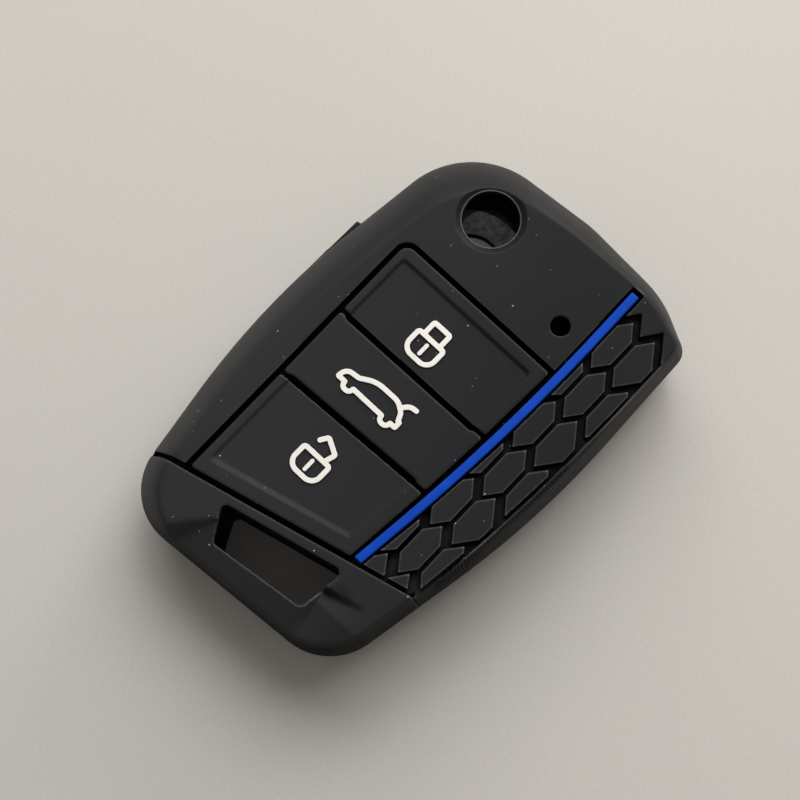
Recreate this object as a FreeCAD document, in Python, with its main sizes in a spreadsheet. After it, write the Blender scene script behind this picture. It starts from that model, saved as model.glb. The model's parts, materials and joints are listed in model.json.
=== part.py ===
import FreeCAD, Part
import math
import os
import types
import Sketcher

# Soft cover for a folding vehicle key, lying on its back. +Z is the front with the press pads,
# +Y the end with the release button, +X the side with the grip. The origin is on the resting
# face, below the middle of the outline. Sizes are millimetres.

SIZES = {
    # overall
    "cover_length": 77.8,
    "cover_width": 50.7,
    "cover_height": 17.0,
    "parting_height": 9.0,
    "front_wall": 2.0,
    "back_wall": 2.0,
    "side_wall": 2.0,
    "back_round": 3.2,
    "inside_bevel_share": 0.5,
    "groove_bevel_share": 0.9,
    # outline at the side seam: how far each corner is in from its sides, its round, and how far
    # the bevel brings it in at the front; a bend within a side has the bulge that its arc would
    # have across the whole cover
    "left_low_in_x": 4.55,
    "left_low_in_y": -0.61,
    "left_low_round": 9.5,
    "left_low_bevel_x": 4.0,
    "left_low_bevel_y": 3.9,
    "right_low_in_x": 6.55,
    "right_low_in_y": 2.4,
    "right_low_round": 9.5,
    "right_low_bevel_x": 1.0,
    "right_low_bevel_y": 0.7,
    "right_mid_in_x": -0.4,
    "right_mid_in_y": 0.9,
    "right_mid_bulge": 5.404,
    "right_mid_bevel_x": 1.0,
    "right_top_in_x": 0.55,
    "right_top_in_y": 5.2,
    "right_top_round": 2.2,
    "right_top_bevel_x": 1.2,
    "right_top_bevel_y": 1.6,
    "top_right_in_x": 8.65,
    "top_right_in_y": 0.95,
    "top_right_round": 17.0,
    "top_right_bevel_x": 1.0,
    "top_right_bevel_y": 3.4,
    "top_mid_in_x": 1.6,
    "top_mid_in_y": -0.04,
    "top_mid_bulge": 16.07,
    "top_mid_bevel_y": 4.8,
    "top_left_in_x": 3.6,
    "top_left_in_y": 2.0,
    "top_left_round": 14.0,
    "top_left_bevel_x": 6.3,
    "top_left_bevel_y": 5.0,
    "left_mid_in_x": -1.15,
    "left_mid_in_y": -3.1,
    "left_mid_bulge": 6.05,
    "left_mid_bevel_x": 6.4,
    # bevel of the outline's lower corners at the end cap, which is more upright than the front
    "cap_left_low_bevel_x": 3.4,
    "cap_left_low_bevel_y": 0.9,
    # line where the end cap meets the front: height above the lower end, and rise per millimetre
    "cap_line_up": 12.95,
    "cap_line_rise": 0.249,
    "cap_groove": 0.75,
    "cap_groove_depth": 0.7,
    "cap_groove_right_in": 4.7,
    # release button hole, lamp pinhole and emblem window
    "release_left_in": 16.2,
    "release_top_in": 11.3,
    "release_radius": 4.3,
    "release_dish_radius": 5.3,
    "release_dish_depth": 0.9,
    "release_lip": 0.3,
    "release_lip_height": 0.25,
    "lamp_right_in": 16.1,
    "lamp_top_in": 16.35,
    "lamp_radius": 1.5,
    "emblem_left_in": 16.15,
    "emblem_top_in": 15.4,
    "emblem_radius": 5.1,
    # stripe: its ends, the point where its end tangents meet, and the share of it that bends
    "stripe_low_right_in": 13.85,
    "stripe_low_up": 16.6,
    "stripe_mid_right_in": 10.8,
    "stripe_top_right_in": 11.3,
    "stripe_top_in": 5.4,
    "stripe_bent_share": 0.7525,
    "stripe_width": 1.35,
    "stripe_gap": 0.375,
    "stripe_end_gap": 0.7,
    "stripe_depth": 1.0,
    "stripe_proud": 0.15,
    "stripe_edge_round": 0.22,
    # press pads, with the shares of their field at which it is split
    "pad_left_in": 9.85,
    "pad_lean_in": 0.3,
    "pad_top_in": 22.6,
    "pad_groove": 0.8,
    "pad_split_width": 0.9,
    "pad_ear": 0.35,
    "pad_ear_run": 0.7,
    "pad_ear_round": 0.5,
    "pad_stripe_gap": 1.15,
    "window_stripe_gap": 0.72,
    "split_one_left_share": 0.329,
    "split_one_right_share": 0.3207,
    "split_two_left_share": 0.6189,
    "split_two_right_share": 0.5893,
    "pad_corner": 0.5,
    "pad_top_corner": 1.6,
    "pad_proud": 0.15,
    "pad_edge_round": 0.25,
    "web_thickness": 0.45,
    "nub_radius": 3.0,
    "nub_height": 1.2,
    # sunk fields of the lock and unlock pads
    "field_depth": 0.35,
    "field_slope": 0.35,
    "field_low_slope": 0.7,
    "field_side_in": 1.55,
    "field_top_in": 2.2,
    "field_right_in": 2.3,
    "field_low_in": 2.9,
    "field_corner": 0.6,
    # white icons
    "icon_x": -2.8,
    "unlock_icon_left": 0.25,
    "icon_height": 0.25,
    # grip of long hexagons, set out from the stripe's centre line
    "grip_depth": 1.2,
    "grip_inner": 0.9,
    "grip_outer": 9.6,
    "grip_first_column": 2.52,
    "grip_column": 2.1,
    "grip_top_in": 13.35,
    "tile_side": 5.25,
    "tile_tip": 2.88,
    "tile_gap": 0.95,
    "tile_tip_gap": 2.1,
    "tile_left_trim": 1.15,
    "tile_right_trim": 9.1,
    # keyring slot in the end cap, as its four corners above the lower end
    "slot_upper_left_x": -8.3,
    "slot_upper_left_up": 9.4,
    "slot_upper_right_x": 11.2,
    "slot_upper_right_up": 14.1,
    "slot_lower_right_x": 10.15,
    "slot_lower_right_up": 6.3,
    "slot_lower_left_x": -5.3,
    "slot_lower_left_up": 4.35,
    "slot_corner": 0.9,
    "slot_back_rise": 0.7,
    # scoop below the slot: its depth at the slot and its fall towards the lower end, in degrees
    "scoop_depth": 1.2,
    "scoop_fall": 16.0,
    "scoop_slope": 1.3,
    "scoop_end_slope": 0.65,
    "scoop_left_x": -6.9,
    "scoop_left_up": 7.1,
    "scoop_left_run": 2.9,
    "scoop_left_drop": 6.0,
    "scoop_right_x": 11.3,
    "scoop_right_up": 10.7,
    "scoop_right_run": 6.0,
    "scoop_right_rise": 1.1,
    # blade slot in the left side, with a finger tab above it
    "blade_low_up": 14.9,
    "blade_top_in": 23.9,
    "blade_bottom": 2.9,
    "blade_reach": 12.7,
    "tab_low_in": 35.5,
    "tab_top_in": 23.3,
    "tab_thickness": 1.5,
    "tab_proud_top": 0.3,
    "tab_root": 1.6,
}

# Corners of the outline, counter-clockwise, with the sides of the cover that each is measured
# from: 0 is the middle.
CORNERS = {
    "left_low": (-1, -1),
    "right_low": (1, -1),
    "right_mid": (1, 0),
    "right_top": (1, 1),
    "top_right": (1, 1),
    "top_mid": (0, 1),
    "top_left": (-1, 1),
    "left_mid": (-1, 0),
}

# How far the bevel and the rounded back have come in at each part of their height.
BEVEL_STEPS = (0.4, 0.7, 0.9, 1.0)
BEVEL_POWER = 1.35
BACK_STEPS = (0.45, 0.8, 1.0)
BACK_POWER = 2.0

# Share of an inset by which it tightens the outline's corners.
INNER_ROUND = 0.9

# An arc's radius is its span squared, over this many times its bulge.
BULGE_FACTOR = 8

# How level an edge has to be to count as lying at a height.
LEVEL_TOLERANCE = 0.001

# Reach of the cutting solids past the cover, and of the scoop's tool past the end cap.
FAR = 60.0
SCOOP_REACH = 12.0
SCOOP_SPREAD = 3


class Size:
    """A length, with the sheet expression that it comes from."""

    def __init__(self, value, text):
        self.value = value
        self.text = text

    def __add__(self, other):
        other = as_size(other)
        return Size(self.value + other.value, f"({self.text} + {other.text})")

    def __sub__(self, other):
        other = as_size(other)
        return Size(self.value - other.value, f"({self.text} - {other.text})")

    def __mul__(self, other):
        other = as_size(other)
        return Size(self.value * other.value, f"({self.text} * {other.text})")

    def __truediv__(self, other):
        other = as_size(other)
        return Size(self.value / other.value, f"({self.text} / {other.text})")

    def __neg__(self):
        return Size(-self.value, f"(0 - {self.text})")


def as_size(number):
    if isinstance(number, Size):
        return number
    if number < 0:
        return Size(number, f"(0 - {-number:.6f})")
    return Size(number, f"{number:.6f}")


doc = FreeCAD.newDocument("key_cover")
sheet = doc.addObject("Spreadsheet::Sheet", "sizes")


def fill_sheet():
    for index, (name, number) in enumerate(SIZES.items(), start=1):
        sheet.set(f"A{index}", name)
        sheet.set(f"B{index}", str(number))
        sheet.setAlias(f"B{index}", name)
    doc.recompute()
    return types.SimpleNamespace(
        **{name: Size(number, f"sizes.{name}") for name, number in SIZES.items()}
    )


s = fill_sheet()


# Sketch drawing

def corner_joint(before, corner, after, radius):
    """Ends and centre of the arc that rounds a corner, and whether it turns left."""
    back = (before - corner).normalize()
    ahead = (after - corner).normalize()
    half = back.getAngle(ahead) / 2
    reach = radius / math.tan(half)
    inward = (back + ahead).normalize()
    centre = corner + inward * (radius / math.sin(half))
    return corner + back * reach, corner + ahead * reach, centre, back.cross(ahead).z < 0


def corner_arc(start, end, centre, radius, turns_left):
    first, last = (start, end) if turns_left else (end, start)
    begin = math.atan2(first.y - centre.y, first.x - centre.x)
    finish = math.atan2(last.y - centre.y, last.x - centre.x)
    if finish < begin:
        finish += 2 * math.pi
    circle = Part.Circle(centre, FreeCAD.Vector(0, 0, 1), radius)
    return Part.ArcOfCircle(circle, begin, finish)


def draw_loop(sketch, corners):
    """Closed outline of straight sides, with each corner at (x, y) rounded by its radius."""
    corners = [tuple(as_size(number) for number in corner) for corner in corners]
    count = len(corners)
    points = [FreeCAD.Vector(x.value, y.value, 0) for x, y, radius in corners]
    joints = []
    for index, (x, y, radius) in enumerate(corners):
        after = points[(index + 1) % count]
        joints.append(corner_joint(points[index - 1], points[index], after, radius.value))
    lines = [
        Part.LineSegment(joints[index][1], joints[(index + 1) % count][0]) for index in range(count)
    ]
    first_line = sketch.addGeometry(lines, False)[0]
    for index, (x, y, radius) in enumerate(corners):
        line_in = first_line + (index - 1) % count
        line_out = first_line + index
        if radius.value == 0:
            sketch.addConstraint(Sketcher.Constraint("Coincident", line_in, 2, line_out, 1))
            place_point(sketch, line_out, 1, x, y)
            continue
        start, end, centre, turns_left = joints[index]
        arc = sketch.addGeometry(corner_arc(start, end, centre, radius.value, turns_left), False)
        entry, leave = (1, 2) if turns_left else (2, 1)
        point = sketch.addGeometry(Part.Point(points[index]), True)
        sketch.addConstraint([
            Sketcher.Constraint("Tangent", line_in, 2, arc, entry),
            Sketcher.Constraint("Tangent", arc, leave, line_out, 1),
            Sketcher.Constraint("PointOnObject", point, 1, line_in),
            Sketcher.Constraint("PointOnObject", point, 1, line_out),
        ])
        place_point(sketch, point, 1, x, y)
        bound(sketch, Sketcher.Constraint("Radius", arc, radius.value), radius)


def draw_circle(sketch, x, y, radius):
    centre = FreeCAD.Vector(x.value, y.value, 0)
    circle = sketch.addGeometry(Part.Circle(centre, FreeCAD.Vector(0, 0, 1), radius.value), False)
    place_point(sketch, circle, 3, x, y)
    bound(sketch, Sketcher.Constraint("Radius", circle, radius.value), radius)


def place_point(sketch, geometry, position, x, y):
    bound(sketch, Sketcher.Constraint("DistanceX", geometry, position, x.value), x)
    bound(sketch, Sketcher.Constraint("DistanceY", geometry, position, y.value), y)


def bound(sketch, constraint, size):
    index = sketch.addConstraint(constraint)
    sketch.setExpression(f"Constraints[{index}]", size.text)


# Solids from primitives

def plain_sketch(name, height, loops):
    sketch = doc.addObject("Sketcher::SketchObject", name)
    sketch.setExpression("Placement.Base.z", as_size(height).text)
    for loop in loops:
        draw_loop(sketch, loop)
    return sketch


def prism(name, loops, bottom, top):
    solid = doc.addObject("Part::Extrusion", name)
    solid.Base = plain_sketch(f"{name}_outline", bottom, loops)
    solid.DirMode = "Custom"
    solid.Dir = FreeCAD.Vector(0, 0, 1)
    solid.Solid = True
    solid.setExpression("LengthFwd", (as_size(top) - bottom).text)
    return solid


def loft(name, sections, ruled):
    solid = doc.addObject("Part::Loft", name)
    solid.Sections = sections
    solid.Solid = True
    solid.Ruled = ruled
    return solid


def set_place(thing, x, y, z):
    thing.setExpression("Placement.Base.x", x.text)
    thing.setExpression("Placement.Base.y", y.text)
    thing.setExpression("Placement.Base.z", as_size(z).text)


def cylinder(name, x, y, radius, bottom, top):
    solid = doc.addObject("Part::Cylinder", name)
    solid.setExpression("Radius", radius.text)
    solid.setExpression("Height", (as_size(top) - bottom).text)
    set_place(solid, x, y, bottom)
    return solid


def cone(name, x, y, low_radius, top_radius, bottom, top):
    solid = doc.addObject("Part::Cone", name)
    solid.setExpression("Radius1", low_radius.text)
    solid.setExpression("Radius2", top_radius.text)
    solid.setExpression("Height", (top - bottom).text)
    set_place(solid, x, y, bottom)
    return solid


def joined(name, solids):
    fuse = doc.addObject("Part::MultiFuse", name)
    fuse.Shapes = solids
    return fuse


def cut(name, base, tool):
    solid = doc.addObject("Part::Cut", name)
    solid.Base = base
    solid.Tool = tool
    return solid


def common(name, base, tool):
    solid = doc.addObject("Part::Common", name)
    solid.Base = base
    solid.Tool = tool
    return solid


# Solids from features

def new_body(name):
    body = doc.addObject("PartDesign::Body", name)
    body.AllowCompound = True
    return body


def body_sketch(body, name, height):
    sketch = body.newObject("Sketcher::SketchObject", name)
    plane = next(plane for plane in body.Origin.OriginFeatures if plane.Role == "XY_Plane")
    sketch.AttachmentSupport = (plane, [""])
    sketch.MapMode = "FlatFace"
    sketch.setExpression("AttachmentOffset.Base.z", as_size(height).text)
    return sketch


def pad(body, name, loops, bottom, top):
    sketch = body_sketch(body, f"{name}_outline", bottom)
    for loop in loops:
        draw_loop(sketch, loop)
    feature = body.newObject("PartDesign::Pad", name)
    feature.Profile = sketch
    feature.setExpression("Length", (as_size(top) - bottom).text)
    return feature


def sunk_field(body, name, low_loop, top_loop, low, top):
    floor = body_sketch(body, f"{name}_floor", low)
    draw_loop(floor, low_loop)
    mouth = body_sketch(body, f"{name}_mouth", top)
    draw_loop(mouth, top_loop)
    feature = body.newObject("PartDesign::SubtractiveLoft", name)
    feature.Profile = floor
    feature.Sections = [mouth]
    feature.Ruled = True
    return feature


def edges_at(shape, height):
    """Names of the edges that lie level at a height."""
    return [
        f"Edge{index}"
        for index, edge in enumerate(shape.Edges, start=1)
        if all(abs(vertex.Z - height) < LEVEL_TOLERANCE for vertex in edge.Vertexes)
    ]


def round_top(body, name, base, height, radius):
    doc.recompute()
    feature = body.newObject("PartDesign::Fillet", name)
    feature.Base = (base, edges_at(base.Shape, height.value))
    feature.setExpression("Radius", radius.text)
    return feature


# Shared lines

front_face = s.cover_height
panel_underside = s.cover_height - s.front_wall
left_side = -(s.cover_width / 2)
right_side = s.cover_width / 2
lower_end = -(s.cover_length / 2)
upper_end = s.cover_length / 2

cap_mid_y = lower_end + s.cap_line_up
release_x = left_side + s.release_left_in
release_y = upper_end - s.release_top_in
stripe_low_x = right_side - s.stripe_low_right_in
stripe_mid_x = right_side - s.stripe_mid_right_in
stripe_top_x = right_side - s.stripe_top_right_in
stripe_low_y = lower_end + s.stripe_low_up
stripe_top_y = upper_end - s.stripe_top_in
stripe_mid_y = (stripe_low_y + stripe_top_y) / 2

pad_top_y = upper_end - s.pad_top_in
pad_field = pad_top_y - cap_mid_y
split_one_left = pad_top_y - pad_field * s.split_one_left_share
split_one_right = pad_top_y - pad_field * s.split_one_right_share
split_two_left = pad_top_y - pad_field * s.split_two_left_share
split_two_right = pad_top_y - pad_field * s.split_two_right_share
split_one = (split_one_left + split_one_right) / 2
split_two = (split_two_left + split_two_right) / 2
grip_first_y = upper_end - s.grip_top_in
blade_top = s.parting_height - s.tab_thickness


def corner_place(name, axis, side, span, bevel, turned_in):
    """Coordinate of an outline corner, in from its side or from the middle."""
    inset = getattr(s, f"{name}_in_{axis}")
    if side == 0:
        return inset
    return span * (side / 2) - (inset + bevel + turned_in) * side


def corner_bevel(name, axis, part):
    """Bevel of a corner at the front, or at the end cap where that has its own."""
    own = f"{part}_{name}_bevel_{axis}"
    return getattr(s, own if own in SIZES else f"{name}_bevel_{axis}", as_size(0))


def corner_round(name, side_x, side_y):
    """Radius of a corner, or of the long bend of a side that bulges out."""
    if side_x and side_y:
        return getattr(s, f"{name}_round")
    span = s.cover_length if side_x else s.cover_width
    return span * span / (getattr(s, f"{name}_bulge") * BULGE_FACTOR)


def outline(bevel_share, back_share, inset, part="front"):
    """Corners of the cover's outline, brought in by its bevel, its rounded back and a wall."""
    turned_in = s.back_round * back_share + inset
    corners = []
    for name, (side_x, side_y) in CORNERS.items():
        bevel_x = corner_bevel(name, "x", part) * bevel_share
        bevel_y = corner_bevel(name, "y", part) * bevel_share
        x = corner_place(name, "x", side_x, s.cover_width, bevel_x, turned_in)
        y = corner_place(name, "y", side_y, s.cover_length, bevel_y, turned_in)
        corners.append((x, y, corner_round(name, side_x, side_y) - inset * INNER_ROUND))
    return corners


def turned_share(part, power):
    """Share of a rounded edge's width that is reached at a part of its height."""
    return 1 - (1 - part ** power) ** (1 / power)


def form(name, sections):
    """Smooth solid through outlines at their heights."""
    sketches = [
        plain_sketch(f"{name}_section_{index}", height, [corners])
        for index, (height, corners) in enumerate(sections, start=1)
    ]
    return loft(name, sketches, False)


def front_form(name, inset, top, bevel_share, part="front"):
    """Solid inside the bevelled front half, brought in by an even inset and a share of the bevel."""
    sections = [(s.parting_height, outline(0, 0, inset, part))]
    for step in BEVEL_STEPS:
        height = s.parting_height + (top - s.parting_height) * step
        reached = as_size(bevel_share) * turned_share(step, BEVEL_POWER)
        sections.append((height, outline(reached, 0, inset, part)))
    return form(name, sections)


def rear_form(name, inset, bottom):
    """Solid inside the rounded back half, brought in by an even inset."""
    sections = [(s.parting_height, outline(0, 0, inset))]
    for step in BACK_STEPS:
        height = s.parting_height - (s.parting_height - bottom) * step
        sections.append((height, outline(0, turned_share(step, BACK_POWER), inset)))
    return form(name, sections)


def cap_line(x):
    """Height of the end cap's upper edge across the cover."""
    return cap_mid_y + as_size(x) * s.cap_line_rise


def stripe_at(y):
    """Middle of the stripe, across the cover, at a distance along it."""
    share = (as_size(y) - stripe_low_y) / (stripe_top_y - stripe_low_y)
    chord = stripe_low_x + (stripe_top_x - stripe_low_x) * share
    bulge = (stripe_mid_x - (stripe_low_x + stripe_top_x) / 2) * 2
    return chord + bulge * (share - share * share)


def rail(offset, low_y, top_y):
    """Line beside the stripe, from its low end to its top end."""
    half = (stripe_top_y - stripe_low_y) / 2
    turn = (stripe_mid_x * 2 - stripe_low_x - stripe_top_x) / half
    bend = half * s.stripe_bent_share * 2 / turn
    return [
        (stripe_at(low_y) + offset, low_y, 0),
        (stripe_mid_x + offset, stripe_mid_y, bend + offset),
        (stripe_at(top_y) + offset, top_y, 0),
    ]


def band(left, right, low_y, top_y):
    """Outline between two lines beside the stripe."""
    return rail(right, low_y, top_y) + rail(left, low_y, top_y)[::-1]


# Shell pieces

def upper_region():
    low_left = (as_size(-FAR), cap_line(-FAR), 0)
    low_right = (as_size(FAR), cap_line(FAR), 0)
    outline_above = [low_left, low_right, (FAR, FAR, 0), (-FAR, FAR, 0)]
    return prism("upper_region", [outline_above], s.parting_height, FAR)


def lower_region():
    high_left = (as_size(-FAR), cap_line(-FAR), 0)
    high_right = (as_size(FAR), cap_line(FAR), 0)
    outline_below = [(-FAR, -FAR, 0), (FAR, -FAR, 0), high_right, high_left]
    return prism("lower_region", [outline_below], s.parting_height, FAR)


def pad_left(y):
    """Left edge of the pads, which lean a little towards the end cap."""
    lean = s.pad_lean_in * (pad_top_y - y) / (pad_top_y - cap_mid_y)
    return left_side + s.pad_left_in + lean


def pad_right(y):
    return stripe_at(y) - s.pad_stripe_gap


def window_loop(low_reach):
    """Outline of the window round the three pads."""
    left_low = pad_left(cap_mid_y) - s.pad_groove
    left_top = pad_left(pad_top_y) - s.pad_groove
    top = pad_top_y + s.pad_groove
    right_low = stripe_at(stripe_low_y) - s.window_stripe_gap
    stripe_side = [
        (stripe_at(y) - s.window_stripe_gap, y, 0) for y in (split_two_right, split_one_right, top)
    ]
    return [
        (left_low, cap_line(left_low) - low_reach, 0),
        (right_low, cap_line(right_low) - low_reach, 0),
        *stripe_side,
        (left_top, top, s.pad_top_corner + s.pad_groove),
    ]


def slot_loop(rise):
    """Outline of the keyring slot, with its upper edge moved up by a rise."""
    return [
        (s.slot_lower_left_x, lower_end + s.slot_lower_left_up, s.slot_corner),
        (s.slot_lower_right_x, lower_end + s.slot_lower_right_up, s.slot_corner),
        (s.slot_upper_right_x, lower_end + s.slot_upper_right_up + rise, s.slot_corner),
        (s.slot_upper_left_x, lower_end + s.slot_upper_left_up + rise, s.slot_corner),
    ]


def grip_loop():
    """Outline of the grip's sunk field: it follows the tips of the first tiles."""
    tip_y = grip_first_y + s.tile_side / 2 + s.tile_tip + s.tile_tip_gap / 2
    valley_y = tip_y - s.tile_tip
    slope = s.tile_tip / s.grip_column
    first = s.grip_first_column
    third = first + s.grip_column * 2
    left_y = tip_y - (first - s.grip_inner) * slope
    right_y = tip_y - (s.grip_outer - third) * slope
    zigzag = [
        (stripe_at(tip_y) + third, tip_y, 0),
        (stripe_at(valley_y) + first + s.grip_column, valley_y, 0),
        (stripe_at(tip_y) + first, tip_y, 0),
    ]
    low_y = cap_mid_y
    return rail(s.grip_outer, low_y, right_y) + zigzag + rail(s.grip_inner, low_y, left_y)[::-1]


def make_front_shell(walls, groove_floor):
    blank = common("front_blank", walls, upper_region())
    window = prism("pad_window", [window_loop(s.cap_groove)], s.parting_height, FAR)
    groove_half = s.stripe_width / 2 + s.stripe_gap
    groove_top = stripe_top_y + s.stripe_end_gap
    stripe_groove = prism(
        "stripe_groove",
        [band(-groove_half, groove_half, cap_mid_y, groove_top)],
        front_face - s.stripe_depth,
        FAR,
    )
    grip_field = prism("grip_field", [grip_loop()], front_face - s.grip_depth, FAR)
    lamp = cylinder(
        "lamp_hole", right_side - s.lamp_right_in, upper_end - s.lamp_top_in, s.lamp_radius,
        s.parting_height, FAR,
    )
    hole = cylinder(
        "release_hole", release_x, release_y, s.release_radius, s.parting_height, FAR
    )
    dish_floor = front_face - s.release_dish_depth
    dish = cone(
        "release_dish", release_x, release_y,
        s.release_radius, s.release_dish_radius, dish_floor, front_face,
    )
    lip = cylinder(
        "release_lip_ring", release_x, release_y,
        s.release_radius + s.release_lip, dish_floor, dish_floor + s.release_lip_height,
    )
    dish_round_lip = cut("release_dish_round_lip", dish, lip)
    groove_end = right_side - s.cap_groove_right_in
    slab_top = [
        (as_size(-FAR), cap_line(-FAR) - s.cap_groove, 0),
        (groove_end, cap_line(groove_end) - s.cap_groove, 0),
        (groove_end, cap_line(groove_end) + s.cap_groove, 0),
        (as_size(-FAR), cap_line(-FAR) + s.cap_groove, 0),
    ]
    slab = prism("cap_groove_slab", [slab_top], s.parting_height, FAR)
    cap_groove = cut("cap_groove_tool", slab, groove_floor)
    openings = [window, stripe_groove, grip_field, lamp, hole, dish_round_lip, cap_groove]
    return cut("front_shell", blank, joined("front_tools", openings))


def make_end_cap(walls):
    blank = common("cap_blank", walls, lower_region())
    slot = prism("cap_slot", [slot_loop(as_size(0))], s.parting_height, FAR)

    def scoop_loop(share):
        left = s.scoop_left_x - s.scoop_slope * share
        left_y = s.scoop_left_up - s.slot_lower_left_up
        right_y = s.scoop_right_up - s.slot_lower_left_up + s.scoop_end_slope * share
        left_reach = s.scoop_left_run / s.scoop_left_drop
        right_reach = s.scoop_right_rise / s.scoop_right_run
        return [
            (left, left_y + s.scoop_end_slope * share, 0),
            (left - left_reach * SCOOP_REACH, left_y - SCOOP_REACH, 0),
            (s.scoop_right_x + SCOOP_REACH, left_y - SCOOP_REACH, 0),
            (s.scoop_right_x + SCOOP_REACH, right_y + right_reach * SCOOP_REACH, 0),
            (s.scoop_right_x, right_y, 0),
        ]

    scoop = loft("cap_scoop", [
        plain_sketch("cap_scoop_floor", 0, [scoop_loop(0)]),
        plain_sketch("cap_scoop_mouth", s.scoop_depth * SCOOP_SPREAD, [scoop_loop(SCOOP_SPREAD)]),
    ], True)
    set_place(scoop, as_size(0), lower_end + s.slot_lower_left_up, front_face - s.scoop_depth)
    scoop.Placement.Rotation = FreeCAD.Rotation(FreeCAD.Vector(1, 0, 0), s.scoop_fall.value)
    scoop.setExpression("Placement.Rotation.Angle", s.scoop_fall.text)
    return cut("end_cap", blank, joined("cap_tools", [slot, scoop]))


def make_rear_shell(walls):
    tab_low_y = upper_end - s.tab_low_in
    tab_top_y = upper_end - s.tab_top_in
    tab_loop = [
        (left_side + s.tab_root, tab_top_y, 0),
        (left_side + s.tab_proud_top, tab_top_y, 0),
        (left_side, tab_low_y, 0),
        (left_side + s.tab_root, tab_low_y, 0),
    ]
    tab = prism("finger_tab", [tab_loop], blade_top, s.parting_height)
    tabbed = joined("rear_tabbed", [walls, tab])
    blade_low_y = lower_end + s.blade_low_up
    blade_top_y = upper_end - s.blade_top_in
    blade_loop = [
        (left_side - FAR, blade_low_y, 0),
        (left_side + s.blade_reach, blade_low_y, 0),
        (left_side + s.blade_reach, blade_top_y, 0),
        (left_side - FAR, blade_top_y, 0),
    ]
    blade = prism("blade_slot", [blade_loop], s.blade_bottom, blade_top)
    emblem = cylinder(
        "emblem_window", left_side + s.emblem_left_in, upper_end - s.emblem_top_in, s.emblem_radius,
        -FAR, s.parting_height,
    )
    slot = prism("rear_slot", [slot_loop(s.slot_back_rise)], -FAR, s.parting_height)
    return cut("rear_shell", tabbed, joined("rear_tools", [blade, emblem, slot]))


# Trim on the front

def make_stripe():
    body = new_body("accent_stripe")
    half = s.stripe_width / 2
    top = front_face + s.stripe_proud
    bar = pad(
        body, "stripe_bar",
        [band(-half, half, stripe_low_y, stripe_top_y)],
        front_face - s.stripe_depth, top,
    )
    round_top(body, "stripe_edge", bar, top, s.stripe_edge_round)
    return body


def tile_loop(offset, y, right_width):
    """Long hexagon of the grip, at an offset from the stripe."""
    x = stripe_at(y) + offset
    left_width = s.grip_column - s.tile_gap / 2
    tip = s.tile_side / 2 + s.tile_tip - s.tile_tip_gap / 2
    slope = s.tile_tip / s.grip_column
    left_side = tip - left_width * slope
    right_side_y = tip - right_width * slope
    return [
        (x, y - tip, 0),
        (x + right_width, y - right_side_y, 0),
        (x + right_width, y + right_side_y, 0),
        (x, y + tip, 0),
        (x - left_width, y + left_side, 0),
        (x - left_width, y - left_side, 0),
    ]


def make_grip():
    row_step = s.tile_side + s.tile_tip
    floor = front_face - s.grip_depth
    tiles = []
    for row in range(math.ceil((grip_first_y - cap_mid_y).value / row_step.value)):
        y = grip_first_y - row_step * row
        shift = row % 2
        for column in range(2 + shift):
            offset = s.grip_first_column + s.grip_column * (2 * column - shift)
            right_width = s.grip_column - s.tile_gap / 2
            if not shift and column == 1:
                right_width = s.tile_right_trim - offset
            tiles.append(prism(f"tile_{row}_{column}", [tile_loop(offset, y, right_width)], floor, front_face))
    low_left = stripe_at(stripe_low_y) + s.tile_left_trim
    low_right = stripe_at(stripe_low_y) + s.tile_right_trim
    low_points = [
        (low_left, cap_line(low_left) + s.cap_groove, 0),
        (low_right, cap_line(low_right) + s.cap_groove, 0),
    ]
    right_edge = rail(s.tile_right_trim, stripe_low_y, stripe_top_y)[1:]
    left_edge = rail(s.tile_left_trim, stripe_low_y, stripe_top_y)[1:][::-1]
    trim = prism("grip_trim", [low_points + right_edge + left_edge], floor, front_face)
    return common("grip_tiles", joined("grip_full", tiles), trim)


# Press pads

def ear_edge(left_y, right_y, back, ear):
    """Edge of the boot pad along a split, back from its line, with an ear standing out at each end."""
    left = pad_left(left_y)
    right = pad_right(right_y)

    def point(x, reach, radius):
        return x, left_y + (right_y - left_y) * ((x - left) / (right - left)) + reach, radius

    near = left + s.field_side_in
    far = right - s.field_right_in
    return [
        point(left, back + ear, s.pad_corner),
        point(near - s.pad_ear_run, back + ear, s.pad_ear_round),
        point(near, back, s.pad_ear_round),
        point(far, back, s.pad_ear_round),
        point(far + s.pad_ear_run, back + ear, s.pad_ear_round),
        point(right, back + ear, s.pad_corner),
    ]


def pad_loops():
    """Outlines of the lock, boot and unlock pads."""
    half = s.pad_split_width / 2
    corner = s.pad_corner
    low_y = cap_mid_y
    one_left, one_right = split_one_left, split_one_right
    two_left, two_right = split_two_left, split_two_right
    unlock_left = pad_left(low_y)
    unlock_right = pad_right(stripe_low_y)
    lock = [
        (pad_left(one_left), one_left + half, corner),
        (pad_right(one_right), one_right + half, corner),
        (pad_right(pad_top_y), pad_top_y, corner),
        (pad_left(pad_top_y), pad_top_y, s.pad_top_corner),
    ]
    boot = ear_edge(two_left, two_right, half, -s.pad_ear)
    boot += ear_edge(one_left, one_right, -half, s.pad_ear)[::-1]
    unlock = [
        (unlock_left, cap_line(unlock_left) + s.cap_groove, corner),
        (unlock_right, cap_line(unlock_right) + s.cap_groove, corner),
        (pad_right(two_right), two_right - half, corner),
        (pad_left(two_left), two_left - half, corner),
    ]
    return lock, boot, unlock


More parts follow.
